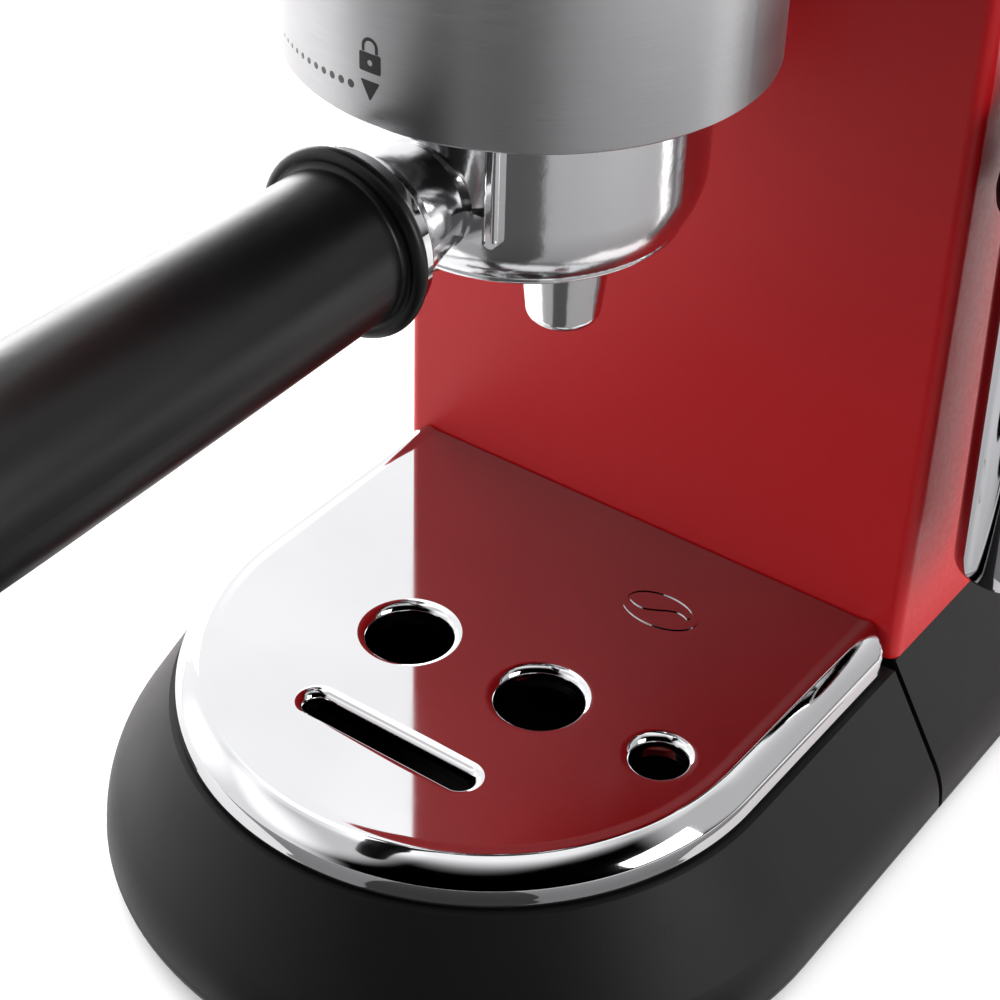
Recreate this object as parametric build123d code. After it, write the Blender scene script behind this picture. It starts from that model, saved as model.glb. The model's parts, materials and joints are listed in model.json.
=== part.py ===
from build123d import *
import os

# A slim pump espresso machine. Millimetres. While it is drawn, X = 0 is the body's middle
# plane, the front faces -Y and the table top is Z = 0. save() then moves every piece so that
# the origin is the middle of the whole machine's footprint.

# Driving dimensions
HEIGHT = 303.0
BODY_HALF = 61.0
BODY_FRONT = -18.2
BODY_REAR = 128.0
BODY_EDGE_R = 2.6
BASE_REAR = 182.0
BASE_CORNER_R = 14.0
SHEET = 1.5
GAP = 0.4
ORIGIN = (7.3, -25.2, 0.0)

GROUP_Y = -64.4
GROUP_R = 41.4
GROUP_BOTTOM = 171.0
HEAD_BOTTOM = 212.0
SHELF_BOTTOM = 222.0
SHELF_TOP = 225.0
HEAD_TOP = 299.5
LID_PLATE_BOTTOM = 296.0

SKIRT_TOP = 36.0
SKIRT_BOTTOM = 2.6
SKIRT_WALL = 2.4
FOOT_HEIGHT = 3.2
PLATE_TOP = 6.0

TRAY_Y = -72.4
TRAY_REAR = -18.9
TRAY_RIM = 34.6
TRAY_FLOOR = 11.5
COVER_TOP = 43.2
COVER_SHEET = 1.8
COVER_HALF = 52.6
COVER_EDGE_R = 6.0
COLLAR_DEPTH = 4.8
COLLAR_WALL = 1.4
ROLL_R = 2.2
DRAIN_HOLE_R = 8.3
DRAIN_HOLE_X = 15.6
DRAIN_HOLE_Y = -76.6
FLOAT_HOLE_R = 5.2
FLOAT_X = 42.7
FLOAT_Y = -76.5
FLOAT_TOP = 31.0
FLOAT_STEM_R = 4.4
FLOAT_POST_R = 2.6
SLOT_Y = -103.5
SLOT_LENGTH = 38.6
SLOT_WIDTH = 5.2

BOWL_R = 31.0
BOWL_BOTTOM = 139.6
BOWL_RIM = 190.5
SPOUT_X = 15.1
SPOUT_Y = -74.0
SPOUT_BOTTOM = 127.0
HANDLE_Z = 154.2
NECK_END = -109.6
HANDLE_FLANGE_Y = -112.5
HANDLE_END = -235.0
ROD_R = 4.0
LUG_R = 35.6
LUG_BOTTOM = 179.0
LUG_TOP = 185.0
LUG_ANGLES = (0, 90, 180)
PORTAFILTER_TURN = 45

TANK_FRONT = 131.0
TANK_REAR = 180.0
TANK_HALF = 60.0
TANK_BOTTOM = 38.0
TANK_TOP = 286.0
TANK_WALL = 2.2
TANK_CORNER_R = 8.0
TANK_VALVE_Y = 155.0
HINGE_Y = 182.4
HINGE_Z = 287.6

WAND_X = 76.5
WAND_Y = -8.0
WAND_BALL_Z = 216.0
WAND_BALL_R = 6.5
SLEEVE_BOTTOM = 62.5
SLEEVE_TOP = 138.0
KNOB_Y = 20.0
KNOB_Z = 258.0
VALVE_X = 40.0

BUTTON_R = 9.0
BUTTON_Y = -84.0
BUTTONS = {"button_one_cup": -32.0, "button_two_cups": 0.0, "button_steam": 32.0}

PUMP_Y = 55.0
HOSE_Z = 12.0
SWITCH_X = -35.0
SWITCH_Z = 19.0
GLAND_X = 35.0
GLAND_Z = 18.0


def save(name, shape):
    """Write one node, moved to the machine's own origin."""
    shifted = Pos(-ORIGIN[0], -ORIGIN[1], -ORIGIN[2]) * shape
    export_step(Compound(children=list(shifted.solids())), f"parts/{name}.step")


def block(low, high):
    """A box between two corners."""
    size = [b - a for a, b in zip(low, high)]
    middle = [(a + b) / 2 for a, b in zip(low, high)]
    return Pos(*middle) * Box(*size)


def disc(x, y, low, high, radius):
    """An upright cylinder between two heights."""
    return Pos(x, y, (low + high) / 2) * Cylinder(radius, high - low)


def rod_x(low, high, y, z, radius):
    """A cylinder along X."""
    return Pos((low + high) / 2, y, z) * Rot(0, 90, 0) * Cylinder(radius, high - low)


def rod_y(x, low, high, z, radius):
    """A cylinder along Y."""
    return Pos(x, (low + high) / 2, z) * Rot(90, 0, 0) * Cylinder(radius, high - low)


def turned(points, x=0.0, y=0.0):
    """A solid of revolution about an upright axis, from radius and height pairs."""
    return Pos(x, y, 0) * revolve(Plane.XZ * make_face(Polyline(*points, close=True)), Axis.Z)


def tube(points, bend, outer, inner):
    """A pipe of straight runs and tangent arcs through the points."""
    path = FilletPolyline(*points, radius=bend)
    start = Plane(path @ 0, z_dir=path % 0)
    return sweep(start * (Circle(outer) - Circle(inner)), path=path)


def rounded_plan(half, front, rear, front_r, rear_r, low, high):
    """An upright prism on a rectangle with its own front and rear corner radii."""
    plan = Pos(0, (front + rear) / 2) * Rectangle(2 * half, rear - front)
    corners = plan.vertices().sort_by(Axis.Y)
    if front_r:
        plan = fillet(corners[:2], front_r)
    if rear_r:
        plan = fillet(plan.vertices().sort_by(Axis.Y)[-2:], rear_r)
    return extrude(Pos(0, 0, low) * plan, high - low)


def nose_plan(half, middle_y, rear, low, high):
    """An upright prism: a half circle in front and straight sides behind it."""
    nose = disc(0, middle_y, low, high, half) & block((-half, middle_y - half, low), (half, middle_y, high))
    return nose + block((-half, middle_y, low), (half, rear, high))


def sided(section, middle_y, rear):
    """Carry a half section round the half circle in front and straight back on both sides."""
    face = Plane.XZ * section
    nose = Pos(0, middle_y, 0) * Rot(0, 0, 180) * revolve(face, Axis.Z, revolution_arc=180)
    side = Pos(0, middle_y, 0) * extrude(face, rear - middle_y, dir=(0, 1, 0))
    return nose + side + mirror(side, about=Plane.YZ)


# Base


def skirt_section(inset):
    """Half section of the flared skirt: a slope, a round knee and a rounded-under toe."""
    top = (BODY_HALF - inset, SKIRT_TOP)
    slope_end = (73.2 - inset, 15.2)
    side = (75.8 - inset, 6.4)
    toe = (73.6 - inset, SKIRT_BOTTOM)
    outline = [
        Line((0, SKIRT_TOP), top),
        Line(top, slope_end),
        TangentArc(slope_end, side, tangent=(12.2, -20.8)),
        ThreePointArc(side, (75.4 - inset, 3.9), toe),
        Line(toe, (0, SKIRT_BOTTOM)),
        Line((0, SKIRT_BOTTOM), (0, SKIRT_TOP)),
    ]
    return make_face(outline)


def skirt_run(inset, front, rear):
    """The skirt's section carried straight back, solid inside."""
    half = Pos(0, front, 0) * extrude(Plane.XZ * skirt_section(inset), rear - front, dir=(0, 1, 0))
    return half + mirror(half, about=Plane.YZ)


BOSSES = [(x, y) for x in (-50.0, 50.0) for y in (-4.0, 116.0)]


def base_skirt():
    """Black flared rear base: walls, the deck under the body and the tank's platform."""
    front = BODY_FRONT + 0.7
    plan = rounded_plan(80, front, BASE_REAR, 0, BASE_CORNER_R, 0, 40)
    inner_plan = rounded_plan(
        80, front + 2.2, BASE_REAR - SKIRT_WALL, 0, BASE_CORNER_R - SKIRT_WALL, 0, 40
    )
    outer = skirt_run(0, front, BASE_REAR) & plan
    inner = skirt_run(SKIRT_WALL, front, BASE_REAR) & inner_plan
    deck_low = SKIRT_TOP - 2.4
    shell = outer - (inner & block((-90, -100, 0), (90, 200, deck_low)))
    shell -= block((-54, -8, deck_low - 1), (54, 122, 40))
    shell -= block((-60, front - 1, 0), (60, front + 3, PLATE_TOP + 3))
    for x, y in BOSSES:
        shell += disc(x, y, PLATE_TOP, SKIRT_TOP - 1, 4.5)
        shell -= disc(x, y, PLATE_TOP - 1, 24, 1.6)
    shell -= disc(0, TANK_VALVE_Y, 20, 40, 14.0)
    shell -= block((SWITCH_X - 12, 170, SWITCH_Z - 6.2), (SWITCH_X + 12, 190, SWITCH_Z + 6.2))
    shell -= rod_y(GLAND_X, 170, 190, GLAND_Z, 6.05)
    return shell


FEET = {
    "foot_front_left": (-36.0, -92.0),
    "foot_front_right": (36.0, -92.0),
    "foot_rear_left": (-52.0, 160.0),
    "foot_rear_right": (52.0, 160.0),
}


def base_plate():
    """Bottom plate with the tongue that carries the drip tray."""
    front = BODY_FRONT + 3.2
    rear = BASE_REAR - SKIRT_WALL - 0.6
    body = rounded_plan(71.0, front, rear, 0, 10, FOOT_HEIGHT, PLATE_TOP)
    tongue = nose_plan(54, TRAY_Y, front, FOOT_HEIGHT, PLATE_TOP)
    rim = nose_plan(54, TRAY_Y, front, PLATE_TOP, 8.6)
    rim -= nose_plan(51.6, TRAY_Y, front + 1, PLATE_TOP - 1, 9)
    rim += block((-54, front - 2.4, PLATE_TOP), (54, front, 8.6))
    plate = body + tongue + rim
    for x, y in FEET.values():
        plate -= disc(x, y, 0, 10, 3.0)
    for x, y in BOSSES:
        plate -= disc(x, y, 0, 10, 1.7)
    return plate


def foot(x, y):
    """Rubber foot with a barbed stem pushed through the base plate."""
    pad = disc(x, y, 0, FOOT_HEIGHT, 9)
    pad = fillet(pad.edges().sort_by(Axis.Z)[0], 0.8)
    pad += disc(x, y, FOOT_HEIGHT, PLATE_TOP, 2.95)
    return pad + turned([(0, PLATE_TOP), (4, PLATE_TOP), (2.6, 8.4), (0, 8.4)], x, y)


def base_screws():
    """Four pan-head screws that hold the base plate to the skirt's bosses."""
    screws = []
    for x, y in BOSSES:
        screw = disc(x, y, 1.6, FOOT_HEIGHT, 3.4) + disc(x, y, FOOT_HEIGHT, 22, 1.5)
        screw -= Pos(x, y, 1.9) * (Box(4.4, 0.9, 1.0) + Box(0.9, 4.4, 1.0))
        screws.append(screw)
    return Compound(children=screws)


# Drip tray


def drip_tray():
    """Black basin whose flared skirt slides over the base tongue."""
    rear = TRAY_REAR
    outer = sided(skirt_section(0), TRAY_Y, rear) & block((-90, -200, 0), (90, 0, TRAY_RIM))
    hollow = sided(skirt_section(SKIRT_WALL), TRAY_Y, rear)
    floor_low = TRAY_FLOOR - 2
    basin = hollow & block((-90, -200, TRAY_FLOOR), (90, rear - 2.2, TRAY_RIM + 2))
    under = hollow & block((-90, -200, 0), (90, rear + 1, floor_low))
    ledge = nose_plan(60.4, TRAY_Y, rear - 1, 29.4, 31.2)
    ledge -= nose_plan(56.2, TRAY_Y, rear + 1, 29, 32)
    tray = outer - basin - under + (ledge & hollow)
    tray -= block((-56, rear - 3, 0), (56, rear + 1, floor_low))
    tray -= block((-59.0, rear - 3, 31.2), (59.0, rear + 1, TRAY_RIM + 1))
    return tray + disc(FLOAT_X, FLOAT_Y, TRAY_FLOOR, 25, FLOAT_POST_R)


DRAIN_HOLES = [
    (-DRAIN_HOLE_X, DRAIN_HOLE_Y, DRAIN_HOLE_R),
    (DRAIN_HOLE_X, DRAIN_HOLE_Y, DRAIN_HOLE_R),
    (FLOAT_X, FLOAT_Y, FLOAT_HOLE_R),
]


def cover_section():
    """Half section of the cup stand: plate, thin raised rim, convex band and a locating skirt."""
    top = COVER_TOP
    rim_start = (COVER_HALF, top)
    rim_low = (54.4, top + 0.3)
    rim_high = (55.6, top + 0.2)
    band_end = (60.4, 36.6)
    under = top - COVER_SHEET
    outline = [
        Line((0, top), rim_start),
        Spline([rim_start, (53.5, top + 0.1), rim_low], tangents=[(1, 0), (1, 0.15)]),
        ThreePointArc(rim_low, (55.0, top + 0.36), rim_high),
        ThreePointArc(rim_high, (58.7, 40.6), band_end),
        Line(band_end, (60.6, 36.4)),
        Line((60.6, 36.4), (60.6, 35.6)),
        Line((60.6, 35.6), (60.2, 35.1)),
        Line((60.2, 35.1), (58.4, 35.1)),
        Line((58.4, 35.1), (58.4, 31.6)),
        Line((58.4, 31.6), (56.9, 31.6)),
        Line((56.9, 31.6), (56.9, 36.4)),
        Line((56.9, 36.4), (53.4, under)),
        Line((53.4, under), (0, under)),
        Line((0, under), (0, top)),
    ]
    return make_face(outline)


def tray_cover():
    """Polished cup stand with two drain holes, a drain slot and the float's hole."""
    rear = BODY_FRONT - 0.4
    cover = sided(cover_section(), TRAY_Y, rear)
    cover &= rounded_plan(60.7, -140, rear, 0, COVER_EDGE_R, 30, 45)
    low = COVER_TOP - COLLAR_DEPTH
    wider = 2 * COLLAR_WALL
    slot_place = Pos(0, SLOT_Y, low)
    cover += extrude(slot_place * SlotOverall(SLOT_LENGTH + wider, SLOT_WIDTH + wider), COLLAR_DEPTH)
    for x, y, radius in DRAIN_HOLES:
        cover += disc(x, y, low, COVER_TOP, radius + COLLAR_WALL)
    cover -= Pos(0, 0, -1) * extrude(slot_place * SlotOverall(SLOT_LENGTH, SLOT_WIDTH), COLLAR_DEPTH + 2)
    for x, y, radius in DRAIN_HOLES:
        cover -= disc(x, y, low - 1, COVER_TOP + 1, radius)
    mouths = [
        edge
        for edge in cover.edges().filter_by_position(Axis.Z, COVER_TOP - 0.01, COVER_TOP + 0.01)
        if abs(edge.center().X) < 51 and -112 < edge.center().Y < -62
    ]
    return fillet(mouths, ROLL_R)


def tray_float():
    """Level float: a buoyant disc with a hollow stem on the basin's guide post."""
    body = disc(FLOAT_X, FLOAT_Y, 12.0, 18, 11) + disc(FLOAT_X, FLOAT_Y, 18, FLOAT_TOP, FLOAT_STEM_R)
    body = fillet(body.edges().sort_by(Axis.Z)[-1], 1.0)
    return body - disc(FLOAT_X, FLOAT_Y, 11, FLOAT_TOP - 3, FLOAT_POST_R + 0.3)


# Body


def housing_shell():
    """Red painted wrap: the column's front and sides and the round-nosed head above."""
    column = rounded_plan(BODY_HALF, BODY_FRONT, BODY_REAR, BODY_EDGE_R, 0, SKIRT_TOP, HEAD_TOP)
    head = nose_plan(BODY_HALF, GROUP_Y, BODY_REAR, HEAD_BOTTOM, HEAD_TOP)
    inner = BODY_HALF - SHEET
    front = BODY_FRONT + SHEET
    corner_r = BODY_EDGE_R - SHEET
    hollow = rounded_plan(inner, front, BODY_REAR + 1, corner_r, 0, SKIRT_TOP - 1, HEAD_TOP + 1)
    head_hollow = nose_plan(inner, GROUP_Y, BODY_REAR + 1, HEAD_BOTTOM - 1, HEAD_TOP + 1)
    head_hollow &= block((-90, -200, HEAD_BOTTOM), (90, 200, HEAD_TOP + 1))
    shell = column + head - hollow - head_hollow
    shell -= rod_x(50, 70, WAND_Y, WAND_BALL_Z, 5.0)
    shell -= rod_x(50, 70, KNOB_Y, KNOB_Z, 5.0)
    return shell


def rear_panel():
    """Black panel that closes the column in front of the water tank."""
    panel = block((-BODY_HALF, BODY_REAR, SKIRT_TOP), (BODY_HALF, BODY_REAR + 2.2, HEAD_TOP - 3.8))
    flange = block((-59.3, BODY_REAR - 6, 40), (59.3, BODY_REAR, 290))
    flange -= block((-57.4, BODY_REAR - 7, 42), (57.4, BODY_REAR + 1, 288))
    return panel + flange


def head_floor():
    """Black cover under the head, with the round opening for the group."""
    rear = BODY_FRONT + SHEET
    floor = nose_plan(BODY_HALF - SHEET - 0.2, GROUP_Y, rear, HEAD_BOTTOM, HEAD_BOTTOM + 2)
    return floor - disc(0, GROUP_Y, 200, 220, GROUP_R + 0.3)


def group_shroud():
    """Brushed steel cylinder round the brewing group, its bottom edge turned in."""
    r = GROUP_R
    points = [
        (r - 2.0, GROUP_BOTTOM),
        (r - 0.4, GROUP_BOTTOM),
        (r, GROUP_BOTTOM + 0.4),
        (r, SHELF_BOTTOM),
        (r - 1.2, SHELF_BOTTOM),
        (r - 1.2, GROUP_BOTTOM + 1.2),
        (r - 2.0, GROUP_BOTTOM + 1.2),
    ]
    return turned(points, 0, GROUP_Y)


def inner_frame():
    """Black chassis: a shelf for group and heater, corner posts and pump cross bars."""
    shelf = nose_plan(57, GROUP_Y, 120, SHELF_BOTTOM, SHELF_TOP)
    for x, y in ((-53, 14), (53, 14), (-53, 114), (53, 114)):
        shelf += block((x - 4, y - 4, SKIRT_TOP), (x + 4, y + 4, SHELF_BOTTOM))
    for low, high in ((60, 64), (148, 152)):
        shelf += block((-49, PUMP_Y - 16, low), (49, PUMP_Y + 16, high))
        for x in (-53, 53):
            shelf += block((x - 4, 10, low), (x + 4, 118, high))
        shelf -= disc(0, PUMP_Y, low - 1, high + 1, 12)
    for x, y in ((-50, -60), (50, -60), (-50, 108), (50, 108)):
        shelf += disc(x, y, SHELF_TOP, LID_PLATE_BOTTOM, 4)
    shelf -= disc(0, GROUP_Y, 220, 230, 15)
    shelf -= disc(0, PUMP_Y, 220, 230, 6)
    shelf -= disc(VALVE_X, KNOB_Y, 220, 230, 4)
    for x, y in GROUP_BOLT_PLACES:
        shelf -= disc(x, y, 220, 230, 2.6)
    return shelf


# Brewing group

GROUP_BOLT_OFFSET = 21.2
GROUP_BOLT_PLACES = [
    (x, GROUP_Y + y)
    for x in (-GROUP_BOLT_OFFSET, GROUP_BOLT_OFFSET)
    for y in (-GROUP_BOLT_OFFSET, GROUP_BOLT_OFFSET)
]


def sector(angle, half_angle, radius, low, high):
    """A wedge of a cylinder about the group's axis."""
    arc = CenterArc((0, 0), radius, angle - half_angle, 2 * half_angle)
    wedge = make_face([Line((0, 0), arc @ 0), arc, Line(arc @ 1, (0, 0))])
    return Pos(0, GROUP_Y, 0) * extrude(Pos(0, 0, low) * wedge, high - low)


def group_head():
    """Cast bayonet ring: a channel for the lugs, entry slots and the water block above."""
    body = disc(0, GROUP_Y, GROUP_BOTTOM + 1.6, SHELF_BOTTOM, 38.6)
    body -= disc(0, GROUP_Y, 170, 197, BOWL_R + 0.6)
    body -= disc(0, GROUP_Y, LUG_BOTTOM - 0.5, LUG_TOP + 0.5, LUG_R + 0.6)
    for angle in LUG_ANGLES:
        entry = sector(angle - PORTAFILTER_TURN, 17, LUG_R + 0.6, 170, LUG_TOP)
        body -= entry - disc(0, GROUP_Y, 160, 200, BOWL_R)
    body += disc(0, GROUP_Y, BOWL_RIM + 0.6, 198, 24.4)
    body += disc(0, GROUP_Y, SHELF_BOTTOM, SHELF_TOP, 13)
    body -= disc(0, GROUP_Y, BOWL_RIM - 1, SHELF_TOP + 1, 2.1)
    for x, y in GROUP_BOLT_PLACES:
        body -= disc(x, y, 206, 230, 2.55)
    return body


def group_gasket():
    """Rubber ring that seals on the basket's rim."""
    return disc(0, GROUP_Y, 192.2, 197, BOWL_R + 0.2) - disc(0, GROUP_Y, 190, 200, 24.9)


def shower_screen():
    """Perforated steel disc that spreads the water."""
    screen = disc(0, GROUP_Y, BOWL_RIM - 0.8, BOWL_RIM + 0.6, 24.4)
    holes = [PolarLocations(ring, count) for ring, count in ((8, 8), (14, 14), (20, 20))]
    for pattern in holes:
        screen -= Pos(0, GROUP_Y, BOWL_RIM) * pattern * Cylinder(0.8, 4)
    return screen - disc(0, GROUP_Y, 180, 200, 2.1)


def shower_screw():
    """Countersunk screw in the middle of the shower screen."""
    head = disc(0, GROUP_Y, BOWL_RIM - 2.4, BOWL_RIM - 0.8, 4.2)
    head -= Pos(0, GROUP_Y, BOWL_RIM - 2.2) * Box(6, 0.9, 1.2)
    return head + disc(0, GROUP_Y, BOWL_RIM - 0.8, 205, 2.0)


def thermoblock():
    """Cast aluminium heater with cooling ribs and its terminals."""
    body = disc(0, GROUP_Y, SHELF_TOP, 260, 42)
    for level in (233, 241, 249):
        body -= disc(0, GROUP_Y, level, level + 3, 50) - disc(0, GROUP_Y, level - 1, level + 4, 38)
    body += rod_y(0, GROUP_Y + 36, GROUP_Y + 46, 246.5, 6)
    body += disc(8, -50, 260, 262, 5)
    for x in (-10, 10):
        body += disc(x, GROUP_Y - 22, 260, 272, 3)
    for x, y in GROUP_BOLT_PLACES:
        body -= disc(x, y, 220, 270, 2.6)
    body -= disc(0, GROUP_Y, 220, 252, 2.1)
    return body


def group_bolts():
    """Four bolts through the heater and the shelf into the group casting."""
    bolts = [
        disc(x, y, 207, 260, 2.5) + extrude(Pos(x, y, 260) * RegularPolygon(4.6, 6), 3.4)
        for x, y in GROUP_BOLT_PLACES
    ]
    return Compound(children=bolts)


def thermostats():
    """Two clip-on thermal cut-outs on top of the heater."""
    cases = [
        disc(x, GROUP_Y, 260, 265, 7) + block((x - 5, GROUP_Y - 2, 265), (x + 5, GROUP_Y + 2, 270))
        for x in (-20, 20)
    ]
    return Compound(children=cases)


# Portafilter


def portafilter_bowl():
    """Cast bowl with bayonet lugs, and the flared neck that carries the handle."""
    r = BOWL_R
    inner = 27.5
    outline = [
        Line((0, BOWL_BOTTOM), (26.8, BOWL_BOTTOM)),
        ThreePointArc((26.8, BOWL_BOTTOM), (27.6, BOWL_BOTTOM + 0.5), (27.7, BOWL_BOTTOM + 1.3)),
        ThreePointArc((27.7, BOWL_BOTTOM + 1.3), (30.2, 145.8), (r, 151.5)),
        Line((r, 151.5), (r, BOWL_RIM)),
        Line((r, BOWL_RIM), (inner, BOWL_RIM)),
        Line((inner, BOWL_RIM), (inner, 152)),
        ThreePointArc((inner, 152), (25.4, 146.2), (20, 143.6)),
        Line((20, 143.6), (0, 143.6)),
        Line((0, 143.6), (0, BOWL_BOTTOM)),
    ]
    bowl = Pos(0, GROUP_Y, 0) * revolve(Plane.XZ * make_face(outline), Axis.Z)
    for angle in LUG_ANGLES:
        bowl += sector(angle, 14, LUG_R, LUG_BOTTOM, LUG_TOP) - disc(0, GROUP_Y, 170, 200, r - 1)
    bowl += portafilter_neck() - disc(0, GROUP_Y, 130, 200, inner + 1)
    bowl += neck_fin() - disc(0, GROUP_Y, 130, 200, inner + 1)
    bowl -= rod_y(0, -112, -97.0, HANDLE_Z, ROD_R + 0.1)
    for side in (-1, 1):
        bowl -= disc(side * SPOUT_X, SPOUT_Y, 130, 150, 4.0)
    return bowl


def portafilter_neck():
    """Neck of the casting, widening from the bowl to the handle's collar."""
    bowl_end = (10.6, -92.0)
    waist = (9.8, -96.0)
    cone_end = (11.9, -106.0)
    collar_end = (13.4, NECK_END)
    outline = [
        Line((0, -92.0), bowl_end),
        ThreePointArc(bowl_end, (9.9, -94.2), waist),
        Line(waist, cone_end),
        TangentArc(cone_end, collar_end, tangent=(2.1, -10.0)),
        Line(collar_end, (0, NECK_END)),
        Line((0, NECK_END), (0, -92.0)),
    ]
    return Pos(0, 0, HANDLE_Z) * revolve(make_face(outline), Axis.Y)


def neck_fin():
    """Upright rib beside the neck, rounded at its foot, with a small lug between them."""
    front, rear = -94.3, -88.0
    x = 13.5
    half = 1.35
    foot_z = 150.3
    fin = block((x - half, front, foot_z), (x + half, rear, GROUP_BOTTOM - 0.6))
    fin = fillet(fin.edges().filter_by(Axis.Z).sort_by(Axis.Y)[:2], 0.9)
    fin += rod_y(x, front + 0.3, rear, foot_z, half)
    return fin + block((9.0, front - 0.2, 149.4), (x - 1, rear, 154.6))


def filter_basket():
    """Pressed steel basket hanging by its rim in the bowl."""
    points = [
        (0, 163.0),
        (24.0, 163.0),
        (26.3, 165.2),
        (26.3, BOWL_RIM),
        (30.4, BOWL_RIM),
        (30.4, BOWL_RIM + 1.0),
        (25.6, BOWL_RIM + 1.0),
        (25.6, 165.4),
        (23.8, 163.8),
        (0, 163.8),
    ]
    return turned(points, 0, GROUP_Y)


def spout(side):
    """One of the two coffee spouts, pushed into the bowl's floor."""
    x = side * SPOUT_X
    top = BOWL_BOTTOM
    mouth = (4.2, SPOUT_BOTTOM)
    round_end = (6.5, SPOUT_BOTTOM + 2.4)
    outline = [
        Line((0, SPOUT_BOTTOM), mouth),
        ThreePointArc(mouth, (5.75, SPOUT_BOTTOM + 0.7), round_end),
        Line(round_end, (7.6, top)),
        Line((7.6, top), (3.9, top)),
        Line((3.9, top), (3.9, top + 4.8)),
        Line((3.9, top + 4.8), (0, top + 4.8)),
        Line((0, top + 4.8), (0, SPOUT_BOTTOM)),
    ]
    nozzle = Pos(x, SPOUT_Y, 0) * revolve(Plane.XZ * make_face(outline), Axis.Z)
    return nozzle - disc(x, SPOUT_Y, 120, 150, 2.6)


def handle_ferrule():
    """Chrome collar between the neck and the grip."""
    collar = rod_y(0, HANDLE_FLANGE_Y, NECK_END, HANDLE_Z, 14.7)
    collar = fillet(collar.edges().filter_by(GeomType.CIRCLE), 0.5)
    return collar - rod_y(0, -115, -105, HANDLE_Z, ROD_R + 0.1)


def handle_grip():
    """Satin black grip with a round flange at the bowl's end."""
    outline = [
        Line((0, HANDLE_FLANGE_Y), (15.5, HANDLE_FLANGE_Y)),
        ThreePointArc((15.5, HANDLE_FLANGE_Y), (16.15, -113.6), (15.6, -114.8)),
        ThreePointArc((15.6, -114.8), (14.9, -115.2), (14.3, -115.2)),
        ThreePointArc((14.3, -115.2), (13.6, -115.5), (13.3, -116.4)),
        Spline([(13.3, -116.4), (13.9, -150.0), (14.4, -190.0), (14.6, -228.0)]),
        Line((14.6, -228.0), (0, -228.0)),
        Line((0, -228.0), (0, HANDLE_FLANGE_Y)),
    ]
    grip = Pos(0, 0, HANDLE_Z) * revolve(make_face(outline), Axis.Y)
    return grip - rod_y(0, -222, -110, HANDLE_Z, ROD_R + 0.1) - rod_y(0, -229, -222, HANDLE_Z, 6)


def handle_rod():
    """Steel stud that ties grip, collar and bowl together."""
    return rod_y(0, -222, -97.5, HANDLE_Z, ROD_R)


def handle_end_cap():
    """Domed plug that closes the end of the grip."""
    outline = [
        Line((0, -222.4), (5.9, -222.4)),
        Line((5.9, -222.4), (5.9, -228.0)),
        Line((5.9, -228.0), (14.6, -228.0)),
        Line((14.6, -228.0), (14.6, -230.0)),
        ThreePointArc((14.6, -230.0), (12.4, -233.4), (7.0, HANDLE_END)),
        Line((7.0, HANDLE_END), (0, HANDLE_END)),
        Line((0, HANDLE_END), (0, -222.4)),
    ]
    return Pos(0, 0, HANDLE_Z) * revolve(make_face(outline), Axis.Y)


# Steam side


def steam_valve():
    """Brass needle valve behind the knob."""
    body = rod_x(22, 54, KNOB_Y, KNOB_Z, 8) + rod_x(30, 50, KNOB_Y, KNOB_Z, 10)
    body += disc(VALVE_X, KNOB_Y, KNOB_Z - 12, KNOB_Z, 5)
    return body - rod_x(34, 60, KNOB_Y, KNOB_Z, 3.05) - disc(VALVE_X, KNOB_Y, 240, KNOB_Z, 1.6)


def knob_shaft():
    """Steel spindle of the steam valve."""
    return rod_x(35, 74, KNOB_Y, KNOB_Z, 3.0)


def steam_knob():
    """Round black knob with grip flutes and a pointer rib."""
    knob = rod_x(BODY_HALF + 0.6, 79, KNOB_Y, KNOB_Z, 17)
    knob = fillet(knob.edges().sort_by(Axis.X)[-1], 1.6)
    knob -= rod_x(50, 66, KNOB_Y, KNOB_Z, 14.6)
    hub = rod_x(64, 76, KNOB_Y, KNOB_Z, 5.5)
    knob += hub
    knob -= rod_x(50, 74.1, KNOB_Y, KNOB_Z, 3.05)
    face = Plane.YZ * PolarLocations(18.0, 24)
    for place in face:
        knob -= Pos(70, KNOB_Y, KNOB_Z) * place * Cylinder(1.5, 40)
    return knob - rod_x(78, 80, KNOB_Y, KNOB_Z, 11.5)


def knob_cap():
    """Chrome disc set in the knob's face, with an index mark."""
    cap = rod_x(78, 79.6, KNOB_Y, KNOB_Z, 11.4)
    return cap - block((79.0, KNOB_Y - 0.8, KNOB_Z + 4), (81, KNOB_Y + 0.8, KNOB_Z + 10))


def wand_socket():
    """Black socket on the column's side that holds the wand's ball."""
    z = WAND_BALL_Z
    body = disc(WAND_X, WAND_Y, z - 9, z + 9, 10.5)
    body = fillet(body.edges().sort_by(Axis.Z)[-1], 2.0)
    body += block((BODY_HALF + 0.0, WAND_Y - 7, z - 7), (WAND_X, WAND_Y + 7, z + 7))
    body += rod_x(55, BODY_HALF, WAND_Y, z, 4.9)
    body -= Pos(WAND_X, WAND_Y, z) * Sphere(WAND_BALL_R + 0.08)
    swing = make_face(Polyline((-4.4, 2), (-4.4, -20), (24, -20), (6.6, 2), close=True))
    cut = Pos(WAND_X, WAND_Y - 4.4, z) * extrude(Plane.XZ * swing, 8.8, dir=(0, 1, 0))
    return body - cut - rod_x(50, WAND_X, WAND_Y, z, 2.4)


def wand_tube():
    """Steel steam tube hanging from its ball, with the nozzle thread at the bottom."""
    z = WAND_BALL_Z
    wand = Pos(WAND_X, WAND_Y, z) * Sphere(WAND_BALL_R)
    wand += disc(WAND_X, WAND_Y, 72, z, 3.3)
    return wand - disc(WAND_X, WAND_Y, 70, z, 1.2)


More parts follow.
